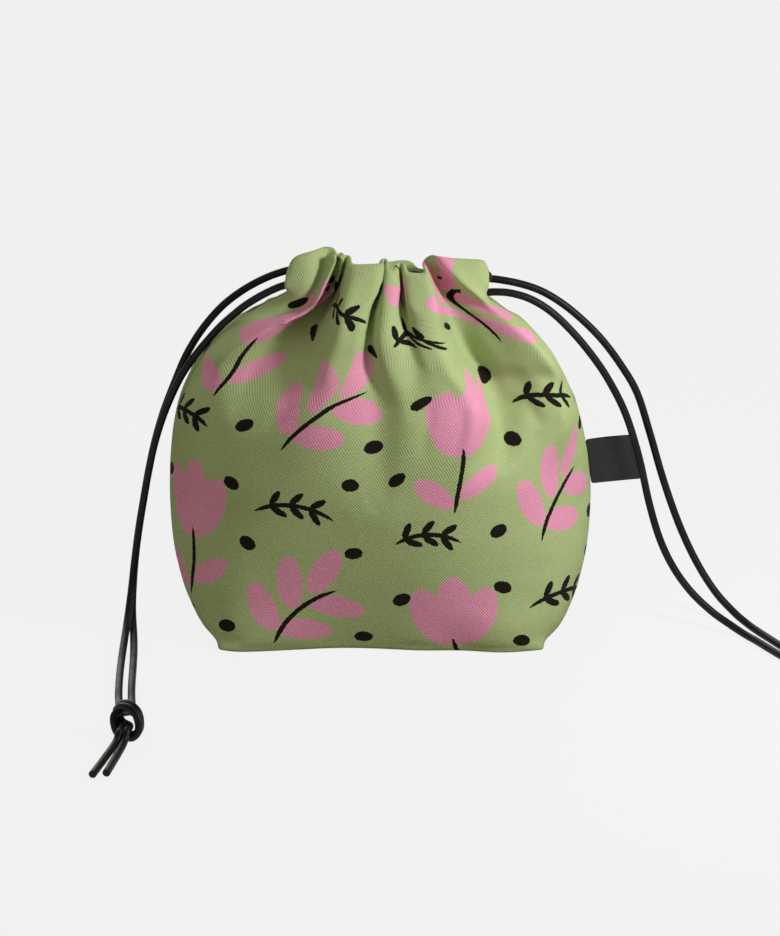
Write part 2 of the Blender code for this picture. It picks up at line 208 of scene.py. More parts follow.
class Graph:
    """A material and the one way that nodes are put into it."""

    def __init__(self, name: str) -> None:
        """Start a material that has only its shader.

        Args:
            name: The material's name.
        """
        self.material = bpy.data.materials.new(name)
        self.material.use_nodes = True
        self.tree = self.material.node_tree
        self.shader = self.tree.nodes["Principled BSDF"]

    def feed(self, socket: bpy.types.NodeSocket, value: object) -> None:
        """Link a socket to another one, or set it to a constant."""
        if isinstance(value, bpy.types.NodeSocket):
            self.tree.links.new(value, socket)
        else:
            socket.default_value = value

    def put(self, kind: str, inputs: dict, output: int | str = 0, **settings: object) -> bpy.types.NodeSocket:
        """Add one node.

        Args:
            kind: The node's type, without the words that all types start with.
            inputs: A value or a socket for each named or numbered input.
            output: Which output is wanted.
            **settings: The node's own settings.

        Returns:
            The wanted output.
        """
        made = self.tree.nodes.new(f"ShaderNode{kind}")
        for name, value in settings.items():
            setattr(made, name, value)
        for name, value in inputs.items():
            self.feed(made.inputs[name], value)
        return made.outputs[output]

    def finish(self, **inputs: object) -> bpy.types.Material:
        """Set the shader's own inputs, an underscore standing for a space, and hand the material over."""
        for name, value in inputs.items():
            self.feed(self.shader.inputs[name.replace("_", " ")], value)
        return self.material


@dataclass(frozen=True)
class PrintedCanvas:
    """Heavy cotton canvas, printed in flat inks: matt and dry, and its weave shows through the ink.

    Everything is drawn on the cloth's own flat measure, so that the print and the threads gather with it.
    """

    ground: str = "B4C68F"
    bloom: str = "F0A3C6"
    ink: str = "1E1A16"
    tile: tuple[float, float] = (0.129, 0.098)
    # The real threads are about 0.6 mm apart. They are drawn a little coarser, so that a pixel can hold them.
    thread: float = 0.00068

    # Each pink shape is an oval: middle, half sizes and turn in degrees, in millimetres on the tile.
    BLOOMS = (
        (-42.0, 22.0, 15.5, 8.0, 112.0), (-31.0, 26.0, 17.0, 8.8, 90.0), (-20.0, 22.0, 15.5, 8.0, 68.0),
        (-31.0, 15.0, 14.5, 10.0, 0.0), (-17.5, -9.0, 11.5, 5.0, 32.0), (-39.0, -13.0, 11.5, 5.0, 146.0),
        (10.0, -23.0, 12.8, 6.1, 112.0), (22.5, -10.0, 13.4, 6.1, 96.0), (38.5, -4.0, 13.0, 6.1, 62.0),
        (28.5, -35.0, 13.0, 5.8, -8.0), (44.0, -22.5, 13.0, 5.8, -14.0),
    )
    # Each black oval is a seed.
    SEEDS = (
        (-55.0, 31.0, 4.4, 3.1, 30.0), (-8.0, 36.0, 4.4, 3.0, -20.0), (-8.0, -34.0, 4.4, 3.1, 20.0),
        (1.5, 8.0, 4.4, 3.1, -25.0), (52.0, 6.0, 4.2, 3.0, 10.0), (56.0, -40.0, 4.4, 3.2, 0.0),
        (-57.5, -6.0, 4.2, 3.0, 40.0), (50.0, 40.0, 4.2, 3.0, -10.0),
    )
    # Each narrow black oval is a leaf beside its branch.
    LEAVES = (
        (14.6, 31.7, 4.3, 1.7, 58.0), (16.6, 25.0, 4.3, 1.7, 154.0), (25.2, 32.2, 4.3, 1.7, 43.0),
        (25.3, 25.3, 4.3, 1.7, 139.0), (35.5, 30.1, 4.3, 1.7, 28.0), (33.8, 23.3, 4.3, 1.7, 124.0),
        (-51.9, -30.9, 4.3, 1.7, 68.0), (-48.8, -37.2, 4.3, 1.7, 164.0), (-41.9, -29.3, 4.3, 1.7, 49.0),
        (-41.0, -36.2, 4.3, 1.7, 145.0), (-31.9, -31.0, 4.3, 1.7, 30.0), (-33.3, -37.8, 4.3, 1.7, 126.0),
    )
    # Each brush line is part of a ring: the ring's middle and radius, then the middle and half sizes of the oval
    # that it shows in.
    LINES = (
        (-76.0, -10.0, 48.6, -28.0, -6.5, 9.0, 17.0), (60.0, -61.0, 49.8, 25.0, -25.0, 23.0, 21.0),
        (22.0, -8.0, 36.7, 24.0, 26.0, 20.0, 15.0), (-42.0, -60.0, 27.0, -42.0, -36.0, 16.0, 11.0),
    )

    def oval(self, graph: Graph, place: bpy.types.NodeSocket, oval: tuple) -> bpy.types.NodeSocket:
        """Measure how far out of an oval a place is.

        Args:
            graph: The material.
            place: The place on the tile, in metres.
            oval: Middle, half sizes and turn, in millimetres and degrees.

        Returns:
            0 at the oval's middle, 1 on its edge.
        """
        x, y, width, height, turn = oval
        local = graph.put("Mapping", {
            "Vector": place, "Location": (x / 1000, y / 1000, 0.0), "Rotation": (0.0, 0.0, math.radians(turn)),
            "Scale": (width / 1000, height / 1000, 1.0)}, vector_type="TEXTURE")
        return graph.put("VectorMath", {0: local}, "Value", operation="LENGTH")

    def shape(self, graph: Graph, place: bpy.types.NodeSocket, ovals: tuple) -> bpy.types.NodeSocket:
        """Join ovals into one inked shape: 1 inside, 0 outside, with a slightly soft edge."""
        joined = None
        for oval in ovals:
            far = self.oval(graph, place, oval)
            joined = far if joined is None else graph.put("Math", {0: joined, 1: far, 2: 0.12},
                                                          operation="SMOOTH_MIN")
        return graph.put("MapRange", {0: joined, 1: 0.97, 2: 1.03, 3: 1.0, 4: 0.0})

    def strokes(self, graph: Graph, place: bpy.types.NodeSocket) -> bpy.types.NodeSocket:
        """Draw the black brush lines, which thin out towards their ends."""
        inked = None
        for x, y, radius, clip_x, clip_y, clip_width, clip_height in self.LINES:
            ring = self.oval(graph, place, (x, y, radius, radius, 0.0))
            off = graph.put("Math", {0: ring, 1: 1.0}, operation="SUBTRACT")
            off = graph.put("Math", {0: off}, operation="ABSOLUTE")
            off = graph.put("Math", {0: off, 1: radius / 1.15}, operation="MULTIPLY")
            clip = self.oval(graph, place, (clip_x, clip_y, clip_width, clip_height, 0.0))
            clip = graph.put("Math", {0: clip, 1: 6.0}, operation="POWER")
            both = graph.put("Math", {0: off, 1: clip}, operation="ADD")
            here = graph.put("MapRange", {0: both, 1: 0.93, 2: 1.07, 3: 1.0, 4: 0.0})
            inked = here if inked is None else graph.put("Math", {0: inked, 1: here}, operation="MAXIMUM")
        return inked

    def tiled(self, graph: Graph, flat: bpy.types.NodeSocket) -> bpy.types.NodeSocket:
        """Repeat the tile over the cloth, each column half a tile lower than the last, with uneven ink edges."""
        wide, tall = self.tile
        rough = graph.put("TexNoise", {"Vector": flat, "Scale": 900.0, "Detail": 2.0}, "Color")
        rough = graph.put("VectorMath", {0: rough, 1: (0.5, 0.5, 0.5)}, operation="SUBTRACT")
        rough = graph.put("VectorMath", {0: rough, "Scale": 0.0009}, operation="SCALE")
        flat = graph.put("VectorMath", {0: flat, 1: rough}, operation="ADD")
        parts = self.tree_split(graph, flat)
        column = graph.put("Math", {0: parts[0], 1: wide}, operation="DIVIDE")
        column = graph.put("Math", {0: column}, operation="FLOOR")
        drop = graph.put("Math", {0: column, 1: 0.5 * tall}, operation="MULTIPLY")
        down = graph.put("Math", {0: parts[1], 1: drop}, operation="ADD")
        across = graph.put("Math", {0: parts[0], 1: 0.0, 2: wide}, operation="WRAP")
        down = graph.put("Math", {0: down, 1: 0.0, 2: tall}, operation="WRAP")
        place = graph.put("CombineXYZ", {0: across, 1: down})
        return graph.put("VectorMath", {0: place, 1: (0.5 * wide, 0.5 * tall, 0.0)}, operation="SUBTRACT")

    def tree_split(self, graph: Graph, vector: bpy.types.NodeSocket) -> tuple:
        """Return a vector's first two parts."""
        first = graph.put("SeparateXYZ", {0: vector})
        return first, first.node.outputs[1]

    def weave(self, graph: Graph, flat: bpy.types.NodeSocket) -> tuple:
        """Draw the plain weave, whose threads pass over and under each other.

        Args:
            graph: The material.
            flat: The place on the flat cloth.

        Returns:
            The threads' height, and an unevenness for their colour.
        """
        wobble = graph.put("TexNoise", {"Vector": flat, "Scale": 160.0, "Detail": 1.0}, "Color")
        wobble = graph.put("VectorMath", {0: wobble, "Scale": 0.0007}, operation="SCALE")
        flat = graph.put("VectorMath", {0: flat, 1: wobble}, operation="ADD")
        parts = self.tree_split(graph, flat)
        waves = []
        for part, pitch in zip(parts, (self.thread, self.thread * 1.12)):
            turn = graph.put("Math", {0: part, 1: math.pi / pitch}, operation="MULTIPLY")
            waves.append(graph.put("Math", {0: turn}, operation="SINE"))
        crossing = graph.put("Math", {0: waves[0], 1: waves[1]}, operation="MULTIPLY")
        uneven = graph.put("TexNoise", {"Vector": flat, "Scale": 420.0, "Detail": 2.0, "Roughness": 0.6})
        height = graph.put("Math", {0: uneven, 1: 0.9, 2: crossing}, operation="MULTIPLY_ADD")
        return height, uneven

    def material(self) -> bpy.types.Material:
        """Make the printed canvas."""
        graph = Graph("cotton canvas, screen printed")
        flat = graph.put("UVMap", {}, uv_map="cloth")
        place = self.tiled(graph, flat)
        pink = self.shape(graph, place, self.BLOOMS)
        seeds = self.shape(graph, place, self.SEEDS + self.LEAVES)
        black = graph.put("Math", {0: seeds, 1: self.strokes(graph, place)}, operation="MAXIMUM")
        colour = graph.put("Mix", {0: pink, 6: linear(self.ground), 7: linear(self.bloom)}, 2, data_type="RGBA")
        colour = graph.put("Mix", {0: black, 6: colour, 7: linear(self.ink)}, 2, data_type="RGBA")
        height, uneven = self.weave(graph, flat)
        # Threads in the hollows of the weave take less light, and the ink lies unevenly over broad patches.
        shade = graph.put("MapRange", {0: height, 1: -0.6, 2: 1.3, 3: 0.80, 4: 1.12})
        patch = graph.put("TexNoise", {"Vector": flat, "Scale": 34.0, "Detail": 3.0})
        patch = graph.put("MapRange", {0: patch, 1: 0.3, 2: 0.7, 3: 0.955, 4: 1.035})
        shade = graph.put("Math", {0: shade, 1: patch}, operation="MULTIPLY")
        colour = graph.put("VectorMath", {0: colour, "Scale": shade}, operation="SCALE")
        normal = graph.put("Bump", {"Height": height, "Strength": 0.55, "Distance": 0.00022})
        rough = graph.put("MapRange", {0: uneven, 1: 0.3, 2: 0.7, 3: 0.80, 4: 0.94})
        return graph.finish(Base_Color=colour, Roughness=rough, Normal=normal, Sheen_Weight=0.04,
                            Sheen_Roughness=0.5, Specular_IOR_Level=0.08)


@dataclass(frozen=True)
class WaxedCord:
    """Round cord with a waxed skin: nearly black, smooth, with a long soft highlight down its length."""

    colour: str = "0B0D10"
    worn: str = "1B1E22"

    def material(self) -> bpy.types.Material:
        """Make the waxed cord."""
        graph = Graph("round cord, waxed")
        place = graph.put("TexCoord", {}, "Object")
        grain = graph.put("TexNoise", {"Vector": place, "Scale": 900.0, "Detail": 3.0})
        rub = graph.put("TexNoise", {"Vector": place, "Scale": 120.0, "Detail": 3.0})
        rub = graph.put("MapRange", {0: rub, 1: 0.48, 2: 0.75, 3: 0.0, 4: 0.75})
        colour = graph.put("Mix", {0: rub, 6: linear(self.colour), 7: linear(self.worn)}, 2, data_type="RGBA")
        rough = graph.put("MapRange", {0: rub, 1: 0.0, 2: 0.75, 3: 0.46, 4: 0.62})
        normal = graph.put("Bump", {"Height": grain, "Strength": 0.25, "Distance": 0.0002})
        return graph.finish(Base_Color=colour, Roughness=rough, Normal=normal, Specular_IOR_Level=0.22)


@dataclass(frozen=True)
class WovenLabel:
    """Black woven ribbon, folded: fine close ribs with a dull silky sheen."""

    colour: str = "0F1316"

    def material(self) -> bpy.types.Material:
        """Make the woven ribbon."""
        graph = Graph("polyester ribbon, woven")
        flat = graph.put("UVMap", {}, uv_map="cloth")
        # The real ribs are about 0.3 mm apart, and are drawn at 0.5 mm.
        ribs = graph.put("TexWave", {"Vector": flat, "Scale": 95.0, "Distortion": 0.4, "Detail": 1.0},
                         "Fac", wave_type="BANDS", bands_direction="Y")
        threads = graph.put("TexWave", {"Vector": flat, "Scale": 60.0, "Distortion": 0.3}, "Fac",
                            wave_type="BANDS", bands_direction="X")
        height = graph.put("Math", {0: ribs, 1: threads}, operation="MULTIPLY")
        # The ribs' tops are painted lighter and the grooves between them darker: painted highlight and painted
        # shade, on top of the bump.
        shade = graph.put("MapRange", {0: height, 1: 0.0, 2: 1.0, 3: 0.7, 4: 1.5})
        colour = graph.put("VectorMath", {0: linear(self.colour)[:3], "Scale": shade}, operation="SCALE")
        normal = graph.put("Bump", {"Height": height, "Strength": 0.4, "Distance": 0.0002})
        return graph.finish(Base_Color=colour, Roughness=0.6, Normal=normal, Sheen_Weight=0.15)


@dataclass(frozen=True)
class SewingThread:
    """Matt cotton thread in the ground's green, a little lighter than the cloth."""

    colour: str = "C3D0A4"

    def material(self) -> bpy.types.Material:
        """Make the thread."""
        graph = Graph("cotton thread, spun")
        place = graph.put("TexCoord", {}, "Object")
        twist = graph.put("TexNoise", {"Vector": place, "Scale": 2500.0, "Detail": 2.0})
        shade = graph.put("MapRange", {0: twist, 1: 0.3, 2: 0.7, 3: 0.85, 4: 1.1})
        colour = graph.put("VectorMath", {0: linear(self.colour)[:3], "Scale": shade}, operation="SCALE")
        return graph.finish(Base_Color=colour, Roughness=0.8, Sheen_Weight=0.2)


@dataclass(frozen=True)
class PaleFloor:
    """The plain pale floor, which shows near white and keeps a faint soft shadow."""

    shown: str = "F4F4F4"
    paper: str = "F2F2F2"
    # The floor throws little light back up at the pouch, as in the photograph, whose lower parts are dark.
    bounced: str = "8A8474"
    own_share: float = 0.94

    def material(self) -> bpy.types.Material:
        """Make the floor: what the camera sees is mostly the backdrop's own colour."""
        graph = Graph("backdrop paper, matt")
        path = graph.put("LightPath", {}, "Is Camera Ray")
        seen = graph.put("Math", {0: path, 1: path.node.outputs["Is Glossy Ray"]}, operation="MAXIMUM")
        seen = graph.put("Math", {0: seen, 1: path.node.outputs["Is Transmission Ray"]}, operation="MAXIMUM")
        colour = graph.put("Mix", {0: seen, 6: linear(self.bounced), 7: linear(self.paper)}, 2, data_type="RGBA")
        graph.finish(Base_Color=colour, Roughness=1.0, Specular_IOR_Level=0.0)
        glow = graph.put("Emission", {"Color": linear(self.shown), "Strength": 1.0})
        share = graph.put("Math", {0: seen, 1: self.own_share}, operation="MULTIPLY")
        mixed = graph.put("MixShader", {0: share, 1: graph.shader.outputs[0], 2: glow})
        graph.tree.links.new(mixed, graph.tree.nodes["Material Output"].inputs["Surface"])
        return graph.material


@dataclass
class Studio:
    """The camera at the photograph's angle, a soft box, two weak lamps, an even sky and the floor."""

    lens: float = 213.23
    elevation: float = math.radians(20.0)
    distance: float = 2.2
    aim: tuple[float, float, float] = (0.0043, 0.0, 0.0728)
    # The key is a small soft box close to the pouch's right shoulder, so its light falls off towards the base.
    box_place: tuple[float, float, float] = (0.299, -0.194, 0.323)
    box_aim: tuple[float, float, float] = (0.0, 0.0, 0.10)
    box_power: float = 1.20
    box_size: float = 0.08
    # Where each distant lamp shines from, its strength and how wide it spreads, in degrees.
    lamps: tuple = (
        ("left fill", (-0.60, -0.79, 0.10), 0.56, 60.0),
        ("back light", (-0.25, 0.90, 0.36), 1.2, 50.0),
    )
    sky: float = 0.26
    backdrop: str = "F2F2F2"
    floor_size: float = 9.0

    def camera(self) -> None:
        """Place the camera."""
        data = bpy.data.cameras.new("camera")
        data.sensor_fit = "HORIZONTAL"
        data.sensor_width = 36.0
        data.lens = self.lens
        thing = bpy.data.objects.new("camera", data)
        back = Vector((0.0, -math.cos(self.elevation), math.sin(self.elevation)))
        thing.location = Vector(self.aim) + self.distance * back
        thing.rotation_euler = (0.5 * math.pi - self.elevation, 0.0, 0.0)
        bpy.context.scene.collection.objects.link(thing)
        bpy.context.scene.camera = thing

    def soft_box(self) -> None:
        """Hang the key light, which no view sees itself."""
        lamp = bpy.data.lights.new("soft box", "AREA")
        lamp.energy = self.box_power
        lamp.size = self.box_size
        lamp.color = (1.0, 0.985, 0.955)
        thing = bpy.data.objects.new("soft box", lamp)
        thing.location = self.box_place
        back = Vector(self.box_place) - Vector(self.box_aim)
        thing.rotation_euler = back.to_track_quat("Z", "Y").to_euler()
        thing.visible_camera = False
        bpy.context.scene.collection.objects.link(thing)

    def lights(self) -> None:
        """Hang the soft box, the weak fill and the light behind, and set the sky."""
        self.soft_box()
        for name, place, strength, width in self.lamps:
            lamp = bpy.data.lights.new(name, "SUN")
            lamp.energy = strength
            lamp.angle = math.radians(width)
            lamp.color = (1.0, 0.985, 0.955)
            thing = bpy.data.objects.new(name, lamp)
            thing.rotation_euler = Vector(place).to_track_quat("Z", "Y").to_euler()
            bpy.context.scene.collection.objects.link(thing)
        bpy.context.scene.world = self.sky_world()

    def sky_world(self) -> bpy.types.World:
        """Make the even sky, which shows in the background's own pale colour."""
        world = bpy.data.worlds.new("sky")
        world.use_nodes = True
        tree = world.node_tree
        lit = tree.nodes["Background"]
        lit.inputs["Color"].default_value = (1.0, 0.93, 0.66, 1.0)
        lit.inputs["Strength"].default_value = self.sky
        shown = tree.nodes.new("ShaderNodeBackground")
        shown.inputs["Color"].default_value = linear(self.backdrop)
        path = tree.nodes.new("ShaderNodeLightPath")
        mixed = tree.nodes.new("ShaderNodeMixShader")
        tree.links.new(path.outputs["Is Camera Ray"], mixed.inputs[0])
        tree.links.new(lit.outputs[0], mixed.inputs[1])
        tree.links.new(shown.outputs[0], mixed.inputs[2])
        tree.links.new(mixed.outputs[0], tree.nodes["World Output"].inputs["Surface"])
        return world

    def floor(self) -> None:
        """Lay the floor, as large as any view needs."""
        clear_selection()
        bpy.ops.mesh.primitive_plane_add(size=self.floor_size, location=(0.0, 0.0, -0.0002))
        thing = bpy.context.object
        thing.name = "floor"
        thing.data.materials.append(PaleFloor().material())

    def build(self) -> None:
        """Set the whole studio."""
        bpy.context.scene.view_settings.view_transform = "Standard"
        self.camera()
        self.lights()
        self.floor()


@dataclass
class Strand:
    """One free strand of a drawstring, from its casing's end to its knot."""

    name: str
    node: str
    route: tuple
    finish: bpy.types.Material
    diameter: float = CORD_DIAMETER

    def build(self) -> bpy.types.Object:
        line = smooth_line(self.route, 5)
        curve = bpy.data.curves.new(self.name, "CURVE")
        curve.dimensions = "3D"
        curve.bevel_depth = 0.5 * self.diameter
        curve.bevel_resolution = 5
        curve.use_fill_caps = True
        spline = curve.splines.new("POLY")
        spline.points.add(len(line) - 1)
        spline.points.foreach_set("co", np.column_stack([line, np.ones(len(line))]).ravel())
        spline.use_smooth = True
        curve.materials.append(self.finish)
        thing = bpy.data.objects.new(self.name, curve)
        bpy.context.scene.collection.objects.link(thing)
        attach(thing, "root")
        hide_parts(self.node)
        log.info("%s: %.3f m", self.name, line_length(line))
        return thing


def tube(name: str, lines: list, radius: float, finish: bpy.types.Material) -> bpy.types.Object:
    """Make round cords along lines, as one mesh.

    Args:
        name: The piece's name.
        lines: The cords' centre lines.
        radius: Half the cord's thickness.
        finish: The cord's material.

    Returns:
        The piece.
    """
    curve = bpy.data.curves.new(name, "CURVE")
    curve.dimensions = "3D"
    curve.bevel_depth = radius
    curve.bevel_resolution = 4
    curve.use_fill_caps = True
    for line in lines:
        spline = curve.splines.new("POLY")
        spline.points.add(len(line) - 1)
        spline.points.foreach_set("co", np.column_stack([line, np.ones(len(line))]).ravel())
        spline.use_smooth = True
    curve.materials.append(finish)
    thing = bpy.data.objects.new(name, curve)
    bpy.context.scene.collection.objects.link(thing)
    pick(thing)
    bpy.ops.object.convert(target="MESH")
    thing = bpy.context.object
    bpy.ops.object.shade_smooth_by_angle(angle=math.radians(50.0))
    return thing


@dataclass
class Knot:
    """An overhand knot tied in both strands at once, with its two tails."""

    name: str
    node: str
    centre: tuple[float, float, float]
    heading: float
    entries: tuple
    tails: tuple
    finish: bpy.types.Material
    radius: float = 0.5 * CORD_DIAMETER

    # The knot's way, in millimetres: along towards the tails, and out from the middle at an angle in degrees.
    WAY = (
        (-13.5, 0.6, 90.0), (-9.0, 1.4, 90.0), (-5.5, 4.6, 130.0), (-2.5, 6.3, 175.0), (1.5, 6.1, 235.0),
        (4.5, 6.2, 290.0), (5.0, 6.6, 345.0), (2.0, 6.9, 405.0), (-2.0, 6.9, 455.0), (-5.5, 6.3, 505.0),
        (-6.0, 5.0, 560.0), (-2.0, 2.6, 600.0), (4.0, 1.2, 640.0), (9.5, 1.0, 640.0), (13.0, 1.0, 640.0),
    )

    def local(self, offset: float) -> np.ndarray:
        """Return one strand's way through the knot, offset sideways from the middle of the pair."""
        points = []
        for along, out, degrees in self.WAY:
            angle = math.radians(degrees)
            points.append((out * math.cos(angle), along, out * math.sin(angle)))
        line = smooth_line(tuple(points), 8) / 1000
        tangent = np.gradient(line, axis=0)
        tangent /= np.linalg.norm(tangent, axis=1)[:, None]
        outward = line * (1.0, 0.0, 1.0)
        outward /= np.maximum(np.linalg.norm(outward, axis=1), 1e-6)[:, None]
        sideways = np.cross(tangent, outward)
        sideways /= np.maximum(np.linalg.norm(sideways, axis=1), 1e-6)[:, None]
        for _ in range(6):
            sideways[1:-1] = (sideways[:-2] + 2 * sideways[1:-1] + sideways[2:]) / 4
        return line + sideways * offset

    def placed(self, line: np.ndarray) -> np.ndarray:
        """Turn a local line to the knot's heading and move it to the knot's place."""
        c, s = math.cos(self.heading), math.sin(self.heading)
        turned = np.column_stack([c * line[:, 0] + s * line[:, 1], s * line[:, 0] - c * line[:, 1], line[:, 2]])
        turned = turned + np.asarray(self.centre)
        turned[:, 2] = np.maximum(turned[:, 2], self.radius + 0.0003)
        return turned

    def build(self) -> bpy.types.Object:
        """Tie the knot and lay its tails."""
        lines = []
        for offset, entry, tail in zip((0.92 * self.radius, -0.92 * self.radius), self.entries, self.tails):
            inside = self.placed(self.local(offset))
            whole = [tuple(entry), *map(tuple, inside[6:-6:4]), *tail[1:]]
            lines.append(smooth_line(tuple(whole), 4))
        thing = tube(self.name, lines, self.radius, self.finish)
        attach(thing, "root")
        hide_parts(self.node)
        log.info("%s: two tails of about 45 mm", self.name)
        return thing


@dataclass
class Drawstring:
    """One drawstring: the run in the casings, two free strands and their knot."""

    side: str
    run_z: float
    free_x: float
    turn_x: float
    front_route: tuple
    back_route: tuple
    knot: tuple[float, float, float]
    heading: float
    tails: tuple
    finish: bpy.types.Material
    casing_y: float = 0.0110
    tucked_y: float = 0.0028

    def run(self) -> bpy.types.Object:
        """Lay the hidden run: in at the front casing's end, around the far end and back through the rear one."""
        away = math.copysign(1.0, self.turn_x - self.free_x)
        middle = 0.5 * (self.free_x + self.turn_x)
        reach = self.turn_x
        half = (
            (self.free_x, -self.casing_y, self.run_z),
            (self.free_x + away * 0.006, -self.casing_y * 0.93, self.run_z),
            (self.free_x + away * 0.020, -self.tucked_y, self.run_z),
            (middle, -self.tucked_y, self.run_z),
            (reach - away * 0.016, -self.tucked_y, self.run_z),
            (reach - away * 0.004, -0.0072, self.run_z),
            (reach + away * 0.0020, -0.0052, self.run_z),
            (reach + away * 0.0040, 0.0, self.run_z),
        )
        other = tuple((x, -y, z) for x, y, z in reversed(half[:-1]))
        thing = tube(f"{self.side}_cord_run", [smooth_line(half + other, 8)], 0.5 * CORD_DIAMETER, self.finish)
        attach(thing, "root")
        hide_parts(f"{self.side}_drawstring_run")
        return thing

    def build(self) -> None:
        """Make the whole drawstring."""
        self.run()
        for half, route in (("front", self.front_route), ("back", self.back_route)):
            Strand(f"{self.side}_{half}_cord", f"{self.side}_{half}_strand", route, self.finish).build()
        Knot(f"{self.side}_tied_knot", f"{self.side}_knot", self.knot, self.heading,
             (self.front_route[-1], self.back_route[-1]), self.tails, self.finish).build()


@dataclass
class ClothCut:
    """The flat cut of one panel, and the grid that it is worked on."""

    width: float = 0.258
    base_width: float = 0.154
    base_depth: float = 0.104
    wall: float = 0.176
    casing: float = 0.0225
    corner_columns: int = 20
    middle_columns: int = 60
    wall_rows: int = 68
    casing_rows: int = 9
    slit_row: int = 82

    @property
    def columns(self) -> int:
        """Return how many cells the cut has from side seam to side seam."""
        return self.middle_columns + 2 * self.corner_columns

    @property
    def rows(self) -> int:
        """Return how many cells the cut has from the seam under the base to the casing's hem."""
        return self.corner_columns + self.wall_rows + 2 * self.casing_rows

    def across(self) -> np.ndarray:
        """Return each column's distance from the left seam."""
        half = 0.5 * self.base_depth
        left = np.linspace(0.0, half, self.corner_columns + 1)
        middle = np.linspace(half, self.width - half, self.middle_columns + 1)
        return np.concatenate([left, middle[1:], self.width - left[::-1][1:]])

    def up(self) -> np.ndarray:
        """Return each row's height on the flat cloth, from the base's edge."""
        return np.concatenate([
            np.linspace(-0.5 * self.base_depth, 0.0, self.corner_columns + 1),
            np.linspace(0.0, self.wall, self.wall_rows + 1)[1:],
            self.wall + np.linspace(0.0, 2 * self.casing, 2 * self.casing_rows + 1)[1:],
        ])

    def base_edge(self, side: Side) -> np.ndarray:
        """Return the points of the base's edge under each column."""
        u = self.across()
        half = 0.5 * self.base_depth
        x = np.clip(u - half, 0.0, self.base_width) - 0.5 * self.base_width
        y = side.value * np.minimum(np.minimum(u, self.width - u), half)
        return np.column_stack([x, y])


@dataclass
class Loft:
    """The filled pouch as level rings, without its folds."""

    # Height, middle, half width, depth in front, depth behind, squareness
    SECTIONS = (
        (0.0000, 0.0000, 0.0775, 0.0515, 0.0515, 14.0), (0.0050, 0.0004, 0.0838, 0.0528, 0.0528, 8.2),
        (0.0110, 0.0004, 0.0888, 0.0532, 0.0532, 6.0), (0.0220, 0.0002, 0.0946, 0.0532, 0.0532, 4.2),
        (0.0380, 0.0000, 0.0990, 0.0542, 0.0542, 3.0), (0.0600, -0.0002, 0.1005, 0.0562, 0.0562, 2.3),
        (0.0850, -0.0010, 0.0990, 0.0570, 0.0565, 2.2), (0.1050, -0.0022, 0.0950, 0.0555, 0.0545, 2.2),
        (0.1220, -0.0030, 0.0870, 0.0515, 0.0500, 2.2), (0.1350, -0.0036, 0.0790, 0.0440, 0.0420, 2.2),
    )

    # How far the base's front edge lies out of line, as a share of its distance from the middle, along x.
    FOOT = (
        (-0.0800, -0.050), (-0.0650, 0.048), (-0.0240, -0.046), (-0.0020, -0.036), (0.0176, 0.012),
        (0.0376, 0.010), (0.0580, 0.062), (0.0800, -0.026),
    )

    def foot(self, x: np.ndarray, side: Side) -> np.ndarray:
        """Return how much the base's edge swells at each place; the back's is the front's the other way round."""
        line = smooth_line(self.FOOT, 6)
        return np.interp(-side.value * x, line[:, 0], line[:, 1])

    def section(self, height: float) -> np.ndarray:
        """Return the ring's numbers at a height, without the height itself."""
        rows = np.asarray(self.SECTIONS)
        index = min(int(np.searchsorted(rows[:, 0], height, side="right")) - 1, len(rows) - 2)
        window = rows[[max(index - 1, 0), index, index + 1, min(index + 2, len(rows) - 1)]]
        a, b, c, d = window
        t = (height - b[0]) / (c[0] - b[0])
        value = 0.5 * (2 * b + (c - a) * t + (2 * a - 5 * b + 4 * c - d) * t ** 2 + (3 * b - a - 3 * c + d) * t ** 3)
        return value[1:]

    def half_ring(self, height: float, side: Side, shares: np.ndarray) -> np.ndarray:
        """Return points along one panel's half of the ring, at shares of its length from the left seam."""
        middle, width, front, back, power = self.section(height)
        depth = front if side is Side.FRONT else back
        angle = np.linspace(0.0, math.pi, 721)
        c, s = np.cos(angle), np.sin(angle)
        x = middle - width * np.sign(c) * np.abs(c) ** (2 / power)
        y = side.value * depth * np.abs(s) ** (2 / power)
        return spread(np.column_stack([x, y]), shares)

    def height_of(self, flat: np.ndarray) -> np.ndarray:
        """Return how high the cloth stands at each distance up its wall."""
        z = np.linspace(0.0, self.SECTIONS[-1][0], 300)
        rings = np.array([self.section(h) for h in z])
        along = np.zeros(len(z))
        for reach in (rings[:, 1], 0.5 * (rings[:, 2] + rings[:, 3])):
            steps = np.hypot(np.diff(reach), np.diff(z))
            along += 0.5 * np.concatenate([[0.0], np.cumsum(steps)])
        return np.interp(flat, along, z)


def through(places: np.ndarray, values: np.ndarray, wanted: float) -> np.ndarray:
    """Read a smooth curve that passes through unevenly spaced values.

    Args:
        places: Where the values are, rising.
        values: One value, or row of values, at each place.
        wanted: The place that is asked for.

    Returns:
        The curve's value there.
    """
    slopes = np.empty_like(values)
    slopes[1:-1] = (values[2:] - values[:-2]) / (places[2:] - places[:-2])[:, None, None]
    slopes[0] = (values[1] - values[0]) / (places[1] - places[0])
    slopes[-1] = (values[-1] - values[-2]) / (places[-1] - places[-2])
    index = int(np.clip(np.searchsorted(places, wanted) - 1, 0, len(places) - 2))
    span = places[index + 1] - places[index]
    t = (wanted - places[index]) / span
    return ((2 * t ** 3 - 3 * t ** 2 + 1) * values[index] + (t ** 3 - 2 * t ** 2 + t) * span * slopes[index]
            + (3 * t ** 2 - 2 * t ** 3) * values[index + 1] + (t ** 3 - t ** 2) * span * slopes[index + 1])


